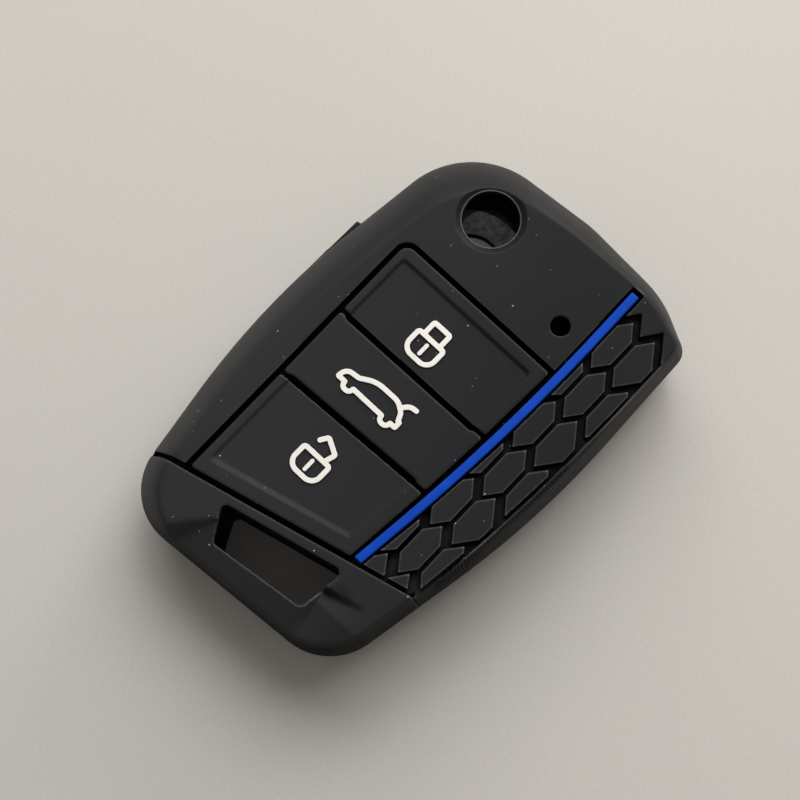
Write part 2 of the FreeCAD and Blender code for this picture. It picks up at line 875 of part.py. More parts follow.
def make_button(name, loop, nub_y):
    body = new_body(f"{name}_button")
    top = front_face + s.pad_proud
    block = pad(body, f"{name}_block", [loop], panel_underside, top)
    round_top(body, f"{name}_edge", block, top, s.pad_edge_round)
    sketch = body_sketch(body, f"{name}_nub_outline", panel_underside)
    draw_circle(sketch, s.icon_x, nub_y, s.nub_radius)
    nub = body.newObject("PartDesign::Pad", f"{name}_nub")
    nub.Profile = sketch
    nub.Reversed = True
    nub.setExpression("Length", s.nub_height.text)
    return body


def lock_field(widen):
    """Sunk field of the lock pad, open towards the next pad."""
    right = s.field_right_in - widen
    top = pad_top_y - s.field_top_in + widen
    left = pad_left(pad_top_y) + s.field_side_in - widen
    low = split_one_left - s.field_low_in
    return [
        (left, low, 0),
        (pad_right(split_one_right) - right, low, 0),
        (pad_right(pad_top_y) - right, top, s.field_corner),
        (left, top, s.field_corner),
    ]


def unlock_field(widen):
    """Sunk field of the unlock pad, open towards the pad above it."""
    right = s.field_right_in - widen
    left = pad_left(cap_mid_y) + s.field_side_in - widen
    low_right = pad_right(stripe_low_y) - right
    rise = s.cap_groove + s.field_low_in - widen * (s.field_low_slope / s.field_slope)
    high = split_two_right + s.field_low_in
    return [
        (left, cap_line(left) + rise, s.field_corner),
        (low_right, cap_line(low_right) + rise, s.field_corner),
        (pad_right(split_two_right) - right, high, 0),
        (left, high, 0),
    ]


def sink_field(body, name, field):
    top = front_face + s.pad_proud
    sunk_field(body, name, field(as_size(0)), field(s.field_slope), top - s.field_depth, top)


# Icons: centre lines of their strokes, as (x, y, round) from the icon's middle, in icon units

PADLOCK = [(-2.45, -1.77, 1.6), (2.45, -1.77, 1.6), (2.45, 1.79, 0.4), (-2.45, 1.79, 0.4)]
SHACKLE = [(1.53, 1.79, 0), (1.53, 4.14, 0.3), (-1.53, 4.14, 0.3), (-1.53, 1.79, 0)]
OPEN_SHACKLE = [(1.3, 1.9, 0), (1.83, 3.6, 0.3), (-0.62, 4.92, 0.3), (-1.55, 3.42, 0)]
KEY_LINE = [(0.0, -1.12, 0), (0.0, 1.12, 0)]
CAR = [
    (-6.22, -1.57, 0.1), (-4.9, -1.57, 0.1), (-4.9, -2.42, 0.74), (-3.25, -2.42, 0.74),
    (-3.25, -1.57, 0.1), (2.43, -1.57, 0.1), (2.43, -2.42, 0.74), (4.08, -2.42, 0.74),
    (4.08, -1.57, 0.1), (5.02, -1.57, 0.1), (5.02, -0.62, 0.05), (4.72, -0.52, 0),
    (4.2, 0.62, 1.5), (2.75, 1.6, 2.5), (-1.51, 1.56, 5.0), (-3.75, 0.2, 0.8),
    (-6.0, -0.05, 1.3),
]
LID = [(3.5, 1.0, 0), (4.6, 2.22, 1.2), (6.03, 2.38, 0)]
ROUND_END = 0.96
STROKE = 0.78
KEY_STROKE = 0.62

# Height of the lock pad's field and places of the icons' middles, in icon units.
ICON_FIELD = 11.325
LOCK_RISE = 3.8
UNLOCK_DROP = 8.05


def side_of(path, closed, reach):
    """Path moved sideways by a reach, to the left where it is positive."""
    moved = []
    for index, (x, y, radius) in enumerate(path):
        before = path[index - 1] if closed or index else None
        after = path[(index + 1) % len(path)] if closed or index + 1 < len(path) else None
        runs = []
        if before:
            runs.append(FreeCAD.Vector(x - before[0], y - before[1], 0).normalize())
        if after:
            runs.append(FreeCAD.Vector(after[0] - x, after[1] - y, 0).normalize())
        normals = [FreeCAD.Vector(-run.y, run.x, 0) for run in runs]
        mitre = (normals[0] + normals[-1]).normalize()
        point = mitre * (reach / mitre.dot(normals[0]))
        turn = runs[0].cross(runs[-1]).z
        kept = radius - reach if turn > 0 else radius + reach
        moved.append((x + point.x, y + point.y, max(kept, 0) if radius else 0))
    return moved


def stroke(path, closed):
    """Outlines of a line drawn along a path, in icon units."""
    half = (KEY_STROKE if path is KEY_LINE else STROKE) / 2
    if closed:
        return [side_of(path, True, -half), side_of(path, True, half)]
    loop = side_of(path, False, -half) + side_of(path, False, half)[::-1]
    ends = (0, len(path) - 1, len(path), len(loop) - 1)
    return [[
        (x, y, half * ROUND_END if index in ends else radius)
        for index, (x, y, radius) in enumerate(loop)
    ]]


def icon_scale():
    """Size of an icon unit, from the room in the lock pad's field."""
    return (pad_top_y - s.field_top_in - split_one_left - s.pad_split_width / 2) / ICON_FIELD


def make_icon(name, x, y, strokes, floor):
    body = new_body(f"{name}_icon")
    unit = icon_scale()
    for index, (path, closed) in enumerate(strokes, start=1):
        loops = [
            [(x + unit * px, y + unit * py, unit * pr if pr else 0)
             for px, py, pr in loop]
            for loop in stroke(path, closed)
        ]
        pad(body, f"{name}_stroke_{index}", loops, floor, floor + s.icon_height)
    return body


def make_web(loops):
    body = new_body("button_web")
    web_loops = [window_loop(as_size(0)), *loops]
    pad(body, "web_sheet", web_loops, panel_underside, panel_underside + s.web_thickness)
    return body


def make_cover():
    flush = as_size(0)
    front_inside = front_form("front_inside", s.side_wall, panel_underside, s.inside_bevel_share)
    front_walls = cut(
        "front_walls", front_form("front_outside", flush, front_face, 1), front_inside
    )
    cap_walls = cut(
        "cap_walls", front_form("cap_outside", flush, front_face, 1, "cap"), front_inside
    )
    rear_walls = cut(
        "rear_walls",
        rear_form("rear_outside", flush, flush),
        rear_form("rear_inside", s.side_wall, s.back_wall),
    )
    groove_floor = front_form(
        "groove_floor", s.cap_groove_depth, front_face - s.cap_groove_depth, s.groove_bevel_share
    )
    lock_loop, boot_loop, unlock_loop = pad_loops()
    lock_y = split_one + icon_scale() * LOCK_RISE
    boot_y = (split_one + split_two) / 2
    unlock_y = split_two - icon_scale() * UNLOCK_DROP
    lock = make_button("lock", lock_loop, lock_y)
    boot = make_button("boot", boot_loop, boot_y)
    unlock = make_button("unlock", unlock_loop, unlock_y)
    sink_field(lock, "lock_field", lock_field)
    sink_field(unlock, "unlock_field", unlock_field)
    pad_top = front_face + s.pad_proud
    field_floor = pad_top - s.field_depth
    padlock = [(PADLOCK, True), (KEY_LINE, False)]
    return [
        make_front_shell(front_walls, groove_floor),
        make_end_cap(cap_walls),
        make_rear_shell(rear_walls),
        make_stripe(),
        make_grip(),
        make_web([lock_loop, boot_loop, unlock_loop]),
        lock,
        make_icon("lock", s.icon_x, lock_y, [*padlock, (SHACKLE, False)], field_floor),
        boot,
        make_icon("boot", s.icon_x, boot_y, [(CAR, True), (LID, False)], pad_top),
        unlock,
        make_icon(
            "unlock", s.icon_x - s.unlock_icon_left, unlock_y,
            [*padlock, (OPEN_SHACKLE, False)], field_floor,
        ),
    ]


def write_parts(pieces):
    doc.recompute()
    for thing in doc.Objects:
        if "Invalid" in thing.State or "Error" in thing.State:
            raise RuntimeError(f"{thing.Name} failed: {thing.State}")
    for piece in pieces:
        if piece.Shape.isNull() or not piece.Shape.isValid():
            raise RuntimeError(f"{piece.Label} has no valid shape")
    os.makedirs("parts", exist_ok=True)
    for piece in pieces:
        piece.Shape.exportStep(f"parts/{piece.Label}.step")
        box = piece.Shape.BoundBox
        print(
            f"{piece.Label}: {len(piece.Shape.Solids)} solids, {piece.Shape.Volume:.1f} mm3,"
            f" x {box.XMin:.2f} {box.XMax:.2f} y {box.YMin:.2f} {box.YMax:.2f}"
            f" z {box.ZMin:.2f} {box.ZMax:.2f}"
        )


write_parts(make_cover())
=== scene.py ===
import json
import math

import bmesh
import bpy
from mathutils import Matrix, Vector
from mathutils.bvhtree import BVHTree


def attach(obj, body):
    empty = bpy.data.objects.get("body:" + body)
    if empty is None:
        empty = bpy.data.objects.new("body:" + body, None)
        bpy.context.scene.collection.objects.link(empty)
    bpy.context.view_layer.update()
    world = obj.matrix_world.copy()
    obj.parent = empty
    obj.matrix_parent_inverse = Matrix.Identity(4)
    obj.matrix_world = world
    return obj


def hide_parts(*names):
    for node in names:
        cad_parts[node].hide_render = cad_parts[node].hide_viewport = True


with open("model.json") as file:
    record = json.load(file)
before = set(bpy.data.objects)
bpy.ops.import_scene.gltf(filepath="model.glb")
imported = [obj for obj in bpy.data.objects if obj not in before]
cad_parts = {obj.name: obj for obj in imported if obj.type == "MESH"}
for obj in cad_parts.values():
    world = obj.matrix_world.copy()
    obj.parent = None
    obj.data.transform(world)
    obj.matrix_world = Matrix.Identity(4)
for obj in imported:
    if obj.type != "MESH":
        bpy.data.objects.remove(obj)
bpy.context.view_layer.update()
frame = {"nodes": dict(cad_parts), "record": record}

# A soft silicone cover for a folding key, lying on its back on a pale floor. Lengths are metres, apart
# from those under a heading that says millimetres.

MM = 0.001
SCENE = bpy.context.scene

# Camera: its direction and distance, its lens, and how far its target lies from the picture's middle
PHOTO_WIDTH = 800
CAMERA_AZIMUTH = math.radians(43.4)
CAMERA_ELEVATION = math.radians(78.0)
CAMERA_DISTANCE = 295.4 * MM
CAMERA_TARGET = Vector((0.8, 0.0, 9.0)) * MM
CAMERA_LENS = 90.0
CAMERA_SENSOR = 36.0
CAMERA_NEAREST = 0.01
TARGET_RIGHT = 11 / PHOTO_WIDTH
TARGET_DOWN = 9 / PHOTO_WIDTH


# Node helpers

WHOLE = (0.0, 1.0)
CLOSENESS_SAMPLES = 8
SPECK_CORE = 0.4


def new_material(name):
    material = bpy.data.materials.new(name)
    material.use_nodes = True
    return material, material.node_tree.nodes["Principled BSDF"]


def add_node(material, kind, **values):
    """Shader node with its inputs set by name, or linked where a value is a socket."""
    node = material.node_tree.nodes.new(kind)
    for name, value in values.items():
        put(material, node.inputs[name.replace("_", " ")], value)
    return node


def put(material, socket, value):
    if isinstance(value, bpy.types.NodeSocket):
        material.node_tree.links.new(value, socket)
    else:
        socket.default_value = value


def places(material):
    return add_node(material, "ShaderNodeTexCoord").outputs["Object"]


def noise(material, size, detail=3.0, roughness=0.5):
    """Noise from 0 to 1 whose lumps are about as wide as size."""
    node = add_node(
        material, "ShaderNodeTexNoise",
        Vector=places(material), Scale=1 / size, Detail=detail, Roughness=roughness,
    )
    return node.outputs["Fac"]


def spread(material, value, over, to=WHOLE):
    """Value carried from one range to another, and held at that range's ends."""
    node = add_node(material, "ShaderNodeMapRange", Value=value)
    for name, number in zip(("From Min", "From Max", "To Min", "To Max"), (*over, *to)):
        node.inputs[name].default_value = number
    return node.outputs["Result"]


def math_node(material, operation, first, second):
    node = material.node_tree.nodes.new("ShaderNodeMath")
    node.operation = operation
    put(material, node.inputs[0], first)
    put(material, node.inputs[1], second)
    return node.outputs[0]


def product(material, first, *others):
    for other in others:
        first = math_node(material, "MULTIPLY", first, other)
    return first


def mixed(material, share, first, second):
    node = material.node_tree.nodes.new("ShaderNodeMix")
    node.data_type = "RGBA"
    put(material, node.inputs["Factor"], share)
    put(material, node.inputs["A"], first)
    put(material, node.inputs["B"], second)
    return node.outputs["Result"]


def specks(material, spacing, radius, kept):
    """1 on small round specks at random places, of which only a share is kept."""
    cells = add_node(
        material, "ShaderNodeTexVoronoi", Vector=places(material), Scale=1 / spacing, Randomness=1.0,
    )
    edge = radius / spacing
    near = spread(material, cells.outputs["Distance"], (edge, edge * SPECK_CORE))
    chosen = math_node(material, "LESS_THAN", cells.outputs["Color"], kept)
    return product(material, near, chosen)


def closeness(material, reach, within):
    """1 in the open, less where the surface closes in within a reach, on its outer or inner side."""
    node = add_node(material, "ShaderNodeAmbientOcclusion", Distance=reach)
    node.inside = within
    node.only_local = within
    node.samples = CLOSENESS_SAMPLES
    return node.outputs["AO"]


def bump(material, height, depth, strength):
    node = add_node(material, "ShaderNodeBump", Height=height, Distance=depth, Strength=strength)
    return node.outputs["Normal"]


# Silicone: colours of its film, of the painted light on its lower left, the grain, the edges paled by wear
# and painted highlight, the painted shade in grooves and on steep sides, the painted light inside it and
# the dust on it
FILM_DARK = (0.0062, 0.0069, 0.0086, 1)
FILM_PALE = (0.0078, 0.0085, 0.0103, 1)
# Painted light: a paler tone laid over the cover towards its lower left
LOWER_LEFT_PAINTED_LIGHT = (0.0225, 0.0234, 0.0262, 1)
GRAIN = (0.02, 0.0206, 0.0222, 1)
# Pale edges: partly wear, partly a painted highlight
WEAR_AND_HIGHLIGHT = (0.12, 0.12, 0.118, 1)
# Painted shade, darkening the grooves and holes
PAINTED_GROOVE_SHADE = (0.0006, 0.0006, 0.0008, 1)
# Painted shade on steep sides
PAINTED_SIDE_SHADE = (0.0014, 0.0016, 0.0021, 1)
# Painted light on the inside of the back wall
PAINTED_INNER_LIGHT = (0.35, 0.375, 0.425, 1)
DUST = (0.55, 0.54, 0.52, 1)

# Film and grain: width of their lumps, and from which noise they begin to show and show in full
FILM_LUMP = 9 * MM
FILM_SHOWN = (0.35, 0.7)
GRAIN_LUMP = 0.28 * MM
GRAIN_SHOWN = (0.3, 0.75)
GRAIN_MOST = 0.2
GRAIN_DEPTH = 0.012 * MM
GRAIN_STRENGTH = 0.6

# Painted light, which pales the cover towards its lower left: the direction across it, and where it begins
# to show and shows in full
PAINTED_LIGHT_ACROSS = Vector((0.727, 0.687))
PAINTED_LIGHT_SHOWN = (22 * MM, -26 * MM)

# Pale edges: partly wear, partly a painted highlight, which is brightest where they face the upper end
EDGE_WEAR_AND_HIGHLIGHT = 0.9
WEAR_AND_HIGHLIGHT_REACH = 0.45 * MM
WEAR_AND_HIGHLIGHT_CLOSENESS = (0.86, 0.56)
HIGHLIGHT_FACING_UP = (-0.4, 0.35)
HIGHLIGHT_FACING_AWAY = 0.3

# Painted shade in grooves and holes, which is lighter in the grip beyond the stripe
GROOVE_SHADE_REACH = 1.6 * MM
GROOVE_SHADE_CLOSENESS = (0.86, 0.5)
GROOVE_SHADE_MOST = 0.95
GRIP_ACROSS = (14.5 * MM, 15.5 * MM)
GRIP_GROOVE_SHADE = 0.65

# Painted shade on steep sides, which is darkest where they face the lower end
SIDE_SHADE_STEEPNESS = (0.6, 0.1)
SIDE_SHADE_MOST = 0.82
SIDE_SHADE_FACING_DOWN = (0.2, -0.3)
SIDE_SHADE_AWAY = 0.5

# Painted light in a mottled ring on the inside of the back wall, round the emblem window
EMBLEM_CENTRE = Vector((-9.1, 23.1, 0.0)) * MM
INNER_LIGHT_RADIUS = 9.2 * MM
INNER_LIGHT_EDGE = 0.15 * MM
INNER_LIGHT_LUMP = 1.1 * MM
INNER_LIGHT_SHOWN = (0.38, 0.64)
INNER_LIGHT_LEAST = 0.45
BACK_WALL_HEIGHT = (2.6 * MM, 2.2 * MM)
BACK_WALL_LEVEL = (0.5, 0.9)

# Dust: spacing of its specks, their radius and the share kept, and how level a surface holds it
COARSE_DUST = (3.2 * MM, 0.14 * MM, 0.4)
FINE_DUST = (1.2 * MM, 0.085 * MM, 0.22)
DUST_LEVEL = (0.1, 0.7)
DUST_ON_SIDES = 0.15

# Sheen and roughness: gloss is lost in the painted shade of the grooves and mostly lost in the painted
# shade of steep sides
SILICONE_IOR = 1.41
SPECULAR_MOST = 0.22
SPECULAR_TINT = (0.94, 0.97, 1.0, 1)
SHEEN_MOST = 0.07
SHEEN_ROUGHNESS = 0.4
SHEEN_TINT = (1.0, 0.97, 0.93, 1)
GLOSS_LOST_GROOVE_SHADE = (0.0, 0.8)
GLOSS_LOST_SIDE_SHADE = (0.0, 0.75)
GLOSS_IN_SIDE_SHADE = 0.15
FILM_ROUGHNESS = (0.48, 0.56)
GRAIN_ROUGH_OVER = (0.3, 0.7)
GRAIN_ROUGHNESS = (-0.04, 0.05)


def silicone_film(material, place, film, grain):
    """Colour of plain stretches: a thin film with a fine grain, and painted light that pales it towards the
    lower left.
    """
    across = math_node(
        material, "ADD",
        product(material, place["X"], PAINTED_LIGHT_ACROSS.x), product(material, place["Y"], PAINTED_LIGHT_ACROSS.y),
    )
    base = mixed(material, film, FILM_DARK, FILM_PALE)
    base = mixed(material, spread(material, across, PAINTED_LIGHT_SHOWN), base, LOWER_LEFT_PAINTED_LIGHT)
    return mixed(material, spread(material, grain, GRAIN_SHOWN, (0.0, GRAIN_MOST)), base, GRAIN)


# Edges paled partly by wear and partly by a painted highlight, which is brightest where they face the upper
# end
def wear_and_highlight_share(material, normal, wear_and_highlight):
    edge = spread(material, closeness(material, WEAR_AND_HIGHLIGHT_REACH, True), WEAR_AND_HIGHLIGHT_CLOSENESS, (0.0, wear_and_highlight))
    return product(material, edge, spread(material, normal["Y"], HIGHLIGHT_FACING_UP, (HIGHLIGHT_FACING_AWAY, 1.0)))


# Painted shade in grooves and holes, where the surface closes in, lighter in the grip
def groove_shade_share(material, place):
    groove = spread(material, closeness(material, GROOVE_SHADE_REACH, False), GROOVE_SHADE_CLOSENESS, (0.0, GROOVE_SHADE_MOST))
    return product(material, groove, spread(material, place["X"], GRIP_ACROSS, (1.0, GRIP_GROOVE_SHADE)))


# Painted shade on steep sides, darkest where they face the lower end
def side_shade_share(material, normal):
    steep = spread(material, normal["Z"], SIDE_SHADE_STEEPNESS, (0.0, SIDE_SHADE_MOST))
    return product(material, steep, spread(material, normal["Y"], SIDE_SHADE_FACING_DOWN, (SIDE_SHADE_AWAY, 1.0)))


# Painted light on the back wall inside: a mottled pale ring round the emblem window
def inner_light_share(material, place, normal):
    level = add_node(material, "ShaderNodeCombineXYZ", X=place["X"], Y=place["Y"]).outputs["Vector"]
    reach = material.node_tree.nodes.new("ShaderNodeVectorMath")
    reach.operation = "DISTANCE"
    put(material, reach.inputs[0], level)
    put(material, reach.inputs[1], EMBLEM_CENTRE)
    patches = noise(material, INNER_LIGHT_LUMP, detail=4.0, roughness=0.65)
    return product(
        material,
        spread(material, place["Z"], BACK_WALL_HEIGHT),
        spread(material, normal["Z"], BACK_WALL_LEVEL),
        spread(material, reach.outputs["Value"], (INNER_LIGHT_RADIUS + INNER_LIGHT_EDGE, INNER_LIGHT_RADIUS)),
        spread(material, patches, INNER_LIGHT_SHOWN, (INNER_LIGHT_LEAST, 1.0)),
    )


def dust_share(material, normal):
    dust = math_node(
        material, "MAXIMUM", specks(material, *COARSE_DUST), specks(material, *FINE_DUST),
    )
    return product(material, dust, spread(material, normal["Z"], DUST_LEVEL, (DUST_ON_SIDES, 1.0)))


def silicone(name, wear_and_highlight):
    """Matte black moulded silicone: fine grain, a faint dust film, a few specks, edges paled by wear and
    painted highlight, painted light on the lower left and inside the back wall, and painted shade in
    grooves and on steep sides.
    """
    material, shader = new_material(name)
    film = spread(material, noise(material, FILM_LUMP, detail=4.0), FILM_SHOWN)
    grain = noise(material, GRAIN_LUMP, detail=2.0)
    place = add_node(material, "ShaderNodeSeparateXYZ", Vector=places(material)).outputs
    shape = add_node(material, "ShaderNodeNewGeometry").outputs
    normal = add_node(material, "ShaderNodeSeparateXYZ", Vector=shape["Normal"]).outputs
    groove_shade = groove_shade_share(material, place)
    side_shade = side_shade_share(material, normal)
    base = silicone_film(material, place, film, grain)
    # Layers over the film: edges paled by wear and painted highlight, painted shade in grooves and on steep
    # sides, painted light inside the back wall, and dust
    for share, colour in (
        (wear_and_highlight_share(material, normal, wear_and_highlight), WEAR_AND_HIGHLIGHT),
        (groove_shade, PAINTED_GROOVE_SHADE),
        (side_shade, PAINTED_SIDE_SHADE),
        (inner_light_share(material, place, normal), PAINTED_INNER_LIGHT),
        (dust_share(material, normal), DUST),
    ):
        base = mixed(material, share, base, colour)
    put(material, shader.inputs["Base Color"], base)
    put(material, shader.inputs["Normal"], bump(material, grain, GRAIN_DEPTH, GRAIN_STRENGTH))
    rough = math_node(
        material, "ADD",
        spread(material, film, WHOLE, FILM_ROUGHNESS),
        spread(material, grain, GRAIN_ROUGH_OVER, GRAIN_ROUGHNESS),
    )
    put(material, shader.inputs["Roughness"], rough)
    # Gloss is taken away where the painted shade lies
    gloss = product(
        material,
        spread(material, groove_shade, GLOSS_LOST_GROOVE_SHADE, (1.0, 0.0)),
        spread(material, side_shade, GLOSS_LOST_SIDE_SHADE, (1.0, GLOSS_IN_SIDE_SHADE)),
    )
    put(material, shader.inputs["Specular IOR Level"], spread(material, gloss, WHOLE, (0.0, SPECULAR_MOST)))
    put(material, shader.inputs["Sheen Weight"], spread(material, gloss, WHOLE, (0.0, SHEEN_MOST)))
    shader.inputs["IOR"].default_value = SILICONE_IOR
    shader.inputs["Specular Tint"].default_value = SPECULAR_TINT
    shader.inputs["Sheen Roughness"].default_value = SHEEN_ROUGHNESS
    shader.inputs["Sheen Tint"].default_value = SHEEN_TINT
    return material


# Inlays: tones where they are clean and handled, width of the patches between them, specks as for dust
# with their colour, roughness of the two tones, and width of the grain
INLAY_SHOWN = (0.35, 0.75)
INLAY_GRAIN_DEPTH = 0.008 * MM
INLAY_GRAIN_STRENGTH = 0.5
WHITE_TONES = ((0.93, 0.92, 0.875, 1), (0.87, 0.86, 0.81, 1))
WHITE_PATCH = 1.4 * MM
WHITE_SPECKS = (0.7 * MM, 0.035 * MM, 0.12)
WHITE_SPECK_COLOUR = (0.2, 0.19, 0.18, 1)
WHITE_ROUGHNESS = (0.42, 0.55)
WHITE_GRAIN = 0.2 * MM
BLUE_TONES = ((0.002, 0.055, 0.46, 1), (0.003, 0.07, 0.55, 1))
BLUE_PATCH = 2.2 * MM
BLUE_SPECKS = (1.1 * MM, 0.045 * MM, 0.12)
BLUE_SPECK_COLOUR = (0.4, 0.42, 0.46, 1)
BLUE_ROUGHNESS = (0.5, 0.6)
BLUE_GRAIN = 0.22 * MM
BLUE_SPECULAR = 0.1


def inlay(name, tones, patch, specked, speck_colour, roughness, grain):
    """Filling of coloured silicone: patches of two tones, a few specks and a fine grain."""
    material, shader = new_material(name)
    handled = spread(material, noise(material, patch, detail=4.0), INLAY_SHOWN)
    base = mixed(material, handled, *tones)
    base = mixed(material, specks(material, *specked), base, speck_colour)
    fine = bump(material, noise(material, grain), INLAY_GRAIN_DEPTH, INLAY_GRAIN_STRENGTH)
    put(material, shader.inputs["Base Color"], base)
    put(material, shader.inputs["Roughness"], spread(material, handled, WHOLE, roughness))
    put(material, shader.inputs["Normal"], fine)
    return material, shader


def white_inlay():
    """Warm white silicone of the icons, a little greyed by handling."""
    return inlay(
        "white_inlay", WHITE_TONES, WHITE_PATCH, WHITE_SPECKS, WHITE_SPECK_COLOUR,
        WHITE_ROUGHNESS, WHITE_GRAIN,
    )[0]


def blue_inlay():
    """Deep blue silicone of the stripe, a little paler where it is handled."""
    material, shader = inlay(
        "blue_inlay", BLUE_TONES, BLUE_PATCH, BLUE_SPECKS, BLUE_SPECK_COLOUR,
        BLUE_ROUGHNESS, BLUE_GRAIN,
    )
    shader.inputs["Specular IOR Level"].default_value = BLUE_SPECULAR
    return material


MATERIALS = {
    "black_silicone": silicone("black_silicone", EDGE_WEAR_AND_HIGHLIGHT),
    "white_inlay": white_inlay(),
    "blue_inlay": blue_inlay(),
}


# Moulded pieces: each is its node's solid with softened edges. The margin makes up for what the softening
# takes from the tiles.

PADS = ("lock", "boot", "unlock")
WELD_DISTANCE = 0.0005 * MM
EASE_FACTOR = 0.5
TILE_MARGIN = 0.17 * MM

# Room between each pad and its hole in the web, and how near a pad the hole's edge lies
WEB_ROOM = 0.12 * MM
WEB_EDGE = 0.2 * MM

# Voxel size in millimetres, rounds of easing and share of faces kept
FINISH = {
    "front_shell": (0.16, 3, 0.35),
    "end_cap": (0.16, 8, 0.35),
    "rear_shell": (0.18, 6, 0.3),
    "grip_tiles": (0.1, 4, 0.4),
    "accent_stripe": (0.1, 3, 0.4),
    **{f"{pad}_button": (0.13, 2, 0.35) for pad in PADS},
    **{f"{pad}_icon": (0.05, 2, 0.5) for pad in PADS},
    "button_web": (0.15, 2, 0.3),
}

# End cap, in millimetres: the slot's lower left corner with the directions in from its two rims, the
# groove's line, and over which distances from these, and heights, the scoop's easing sets in
SLOT_CORNER = Vector((-5.26, -34.2))
SLOT_LOW_UP = Vector((-0.095, 0.995))
SLOT_LEFT_IN = Vector((0.816, 0.576))
CAP_LINE_UP = -26.05
CAP_LINE_RISE = 0.249
SCOOP_ROUNDS = 60
EASE_PAST_SLOT = (0.6, 1.6)
EASE_BELOW_GROOVE = (1.2, 2.4)
EASE_HEIGHT = (11.5, 13.0)

# Notch at the scoop's right end, in millimetres: its upper line, its form below that line, and the shares
# of the line over which it fades in at its left end
NOTCH_FROM = Vector((11.2, -27.9))
NOTCH_TO = Vector((17.15, -26.45))
NOTCH_DEPTH = 1.6
NOTCH_SLOPE = 0.8
NOTCH_REACH = 8.5
NOTCH_LOWEST = 12.5
NOTCH_LEFT_END = (-0.35, -0.1)

BODY_OF = {
    node: body
    for body, nodes in frame["record"]["behaviour"]["bodies"].items()
    for node in nodes
}
SLOT_OF = {part["node"]: part["material_slot"] for part in frame["record"]["subparts"]}


def applied(piece):
    """Mesh of a piece with its modifiers in effect."""
    graph = bpy.context.evaluated_depsgraph_get()
    return bpy.data.meshes.new_from_object(piece.evaluated_get(graph))


def surface_tree(mesh):
    return BVHTree.FromPolygons(
        [vertex.co for vertex in mesh.vertices], [tuple(face.vertices) for face in mesh.polygons],
    )


def share_of(value, low, high):
    """How far a value lies from low to high, from 0 to 1."""
    return min(max((value - low) / (high - low), 0.0), 1.0)


def widen(mesh, margin):
    """Move the outline of each separate solid outwards by a margin, about the solid's own middle."""
    form = bmesh.new()
    form.from_mesh(mesh)
    bmesh.ops.remove_doubles(form, verts=form.verts, dist=WELD_DISTANCE)
    left = set(form.verts)
    while left:
        solid = set()
        waiting = [left.pop()]
        while waiting:
            vertex = waiting.pop()
            solid.add(vertex)
            beside = {edge.other_vert(vertex) for edge in vertex.link_edges} & left
            left -= beside
            waiting += beside
        for axis in (0, 1):
            low = min(vertex.co[axis] for vertex in solid)
            high = max(vertex.co[axis] for vertex in solid)
            for vertex in solid:
                vertex.co[axis] += margin * (2 * vertex.co[axis] - low - high) / (high - low)
    form.to_mesh(mesh)
    form.free()


def scoop_ease(place):
    """Share of extra easing: full over the scoop and its left end, none at the rims and the groove."""
    offset = place.xy - SLOT_CORNER
    past_slot = max(-offset.dot(SLOT_LOW_UP), -offset.dot(SLOT_LEFT_IN))
    below_groove = CAP_LINE_UP + CAP_LINE_RISE * place.x - place.y
    share = share_of(past_slot, *EASE_PAST_SLOT) * share_of(below_groove, *EASE_BELOW_GROOVE)
    return share * share_of(place.z, *EASE_HEIGHT)


def notch_drop(place):
    """Depth of the notch at the scoop's right end: a slope below its upper line, then fading out."""
    if place.z < NOTCH_LOWEST:
        return 0.0
    offset = place.xy - NOTCH_FROM
    line = NOTCH_TO - NOTCH_FROM
    along = offset.dot(line) / line.length_squared
    below = (offset.x * line.y - offset.y * line.x) / line.length
    across = share_of(below, 0.0, NOTCH_SLOPE) * share_of(below, NOTCH_REACH, NOTCH_SLOPE)
    return NOTCH_DEPTH * across * share_of(along, 1.0, 0.0) * share_of(along, *NOTCH_LEFT_END)


def shape_scoop(cap):
    """Ease the end cap's scoop further than its edges, and sink the notch into it."""
    group = cap.vertex_groups.new(name="scoop")
    for vertex in cap.data.vertices:
        share = scoop_ease(vertex.co / MM)
        if share > 0:
            group.add([vertex.index], share, "REPLACE")
    ease = cap.modifiers.new("scoop", "SMOOTH")
    ease.vertex_group = group.name
    ease.factor = EASE_FACTOR
    ease.iterations = SCOOP_ROUNDS
    cap.data = applied(cap)
    cap.modifiers.clear()
    cap.vertex_groups.clear()
    for vertex in cap.data.vertices:
        vertex.co.z -= notch_drop(vertex.co / MM) * MM


def clear_pads(web):
    """Draw the edges of the web's holes back, so that the pads slide through them without touching."""
    trees = [surface_tree(bpy.data.objects[f"{pad}_button_moulded"].data) for pad in PADS]
    drawn_back = []
    for vertex in web.data.vertices:
        if any(tree.find_nearest(vertex.co, WEB_EDGE)[0] for tree in trees):
            drawn_back.append((vertex, vertex.normal.xy * WEB_ROOM))
    for vertex, step in drawn_back:
        vertex.co.xy -= step


def moulded(node, name, voxel, rounds, kept):
    """Copy of a node's solid, evenly meshed, with its edges eased and flat stretches thinned out."""
    source = bpy.data.objects.new(f"{name}_source", frame["nodes"][node].data.copy())
    SCENE.collection.objects.link(source)
    if node == "grip_tiles":
        widen(source.data, TILE_MARGIN)
    weld = source.modifiers.new("weld", "WELD")
    weld.merge_threshold = WELD_DISTANCE
    remesh = source.modifiers.new("remesh", "REMESH")
    remesh.mode = "VOXEL"
    remesh.voxel_size = voxel
    ease = source.modifiers.new("ease", "SMOOTH")
    ease.factor = EASE_FACTOR
    ease.iterations = rounds
    piece = bpy.data.objects.new(name, applied(source))
    bpy.data.objects.remove(source)
    SCENE.collection.objects.link(piece)
    if node == "end_cap":
        shape_scoop(piece)
    if node == "button_web":
        clear_pads(piece)
    thin = piece.modifiers.new("thin", "DECIMATE")
    thin.ratio = kept
    piece.data = applied(piece)
    piece.modifiers.clear()
    piece.data.name = name
    piece.data.shade_smooth()
    return piece


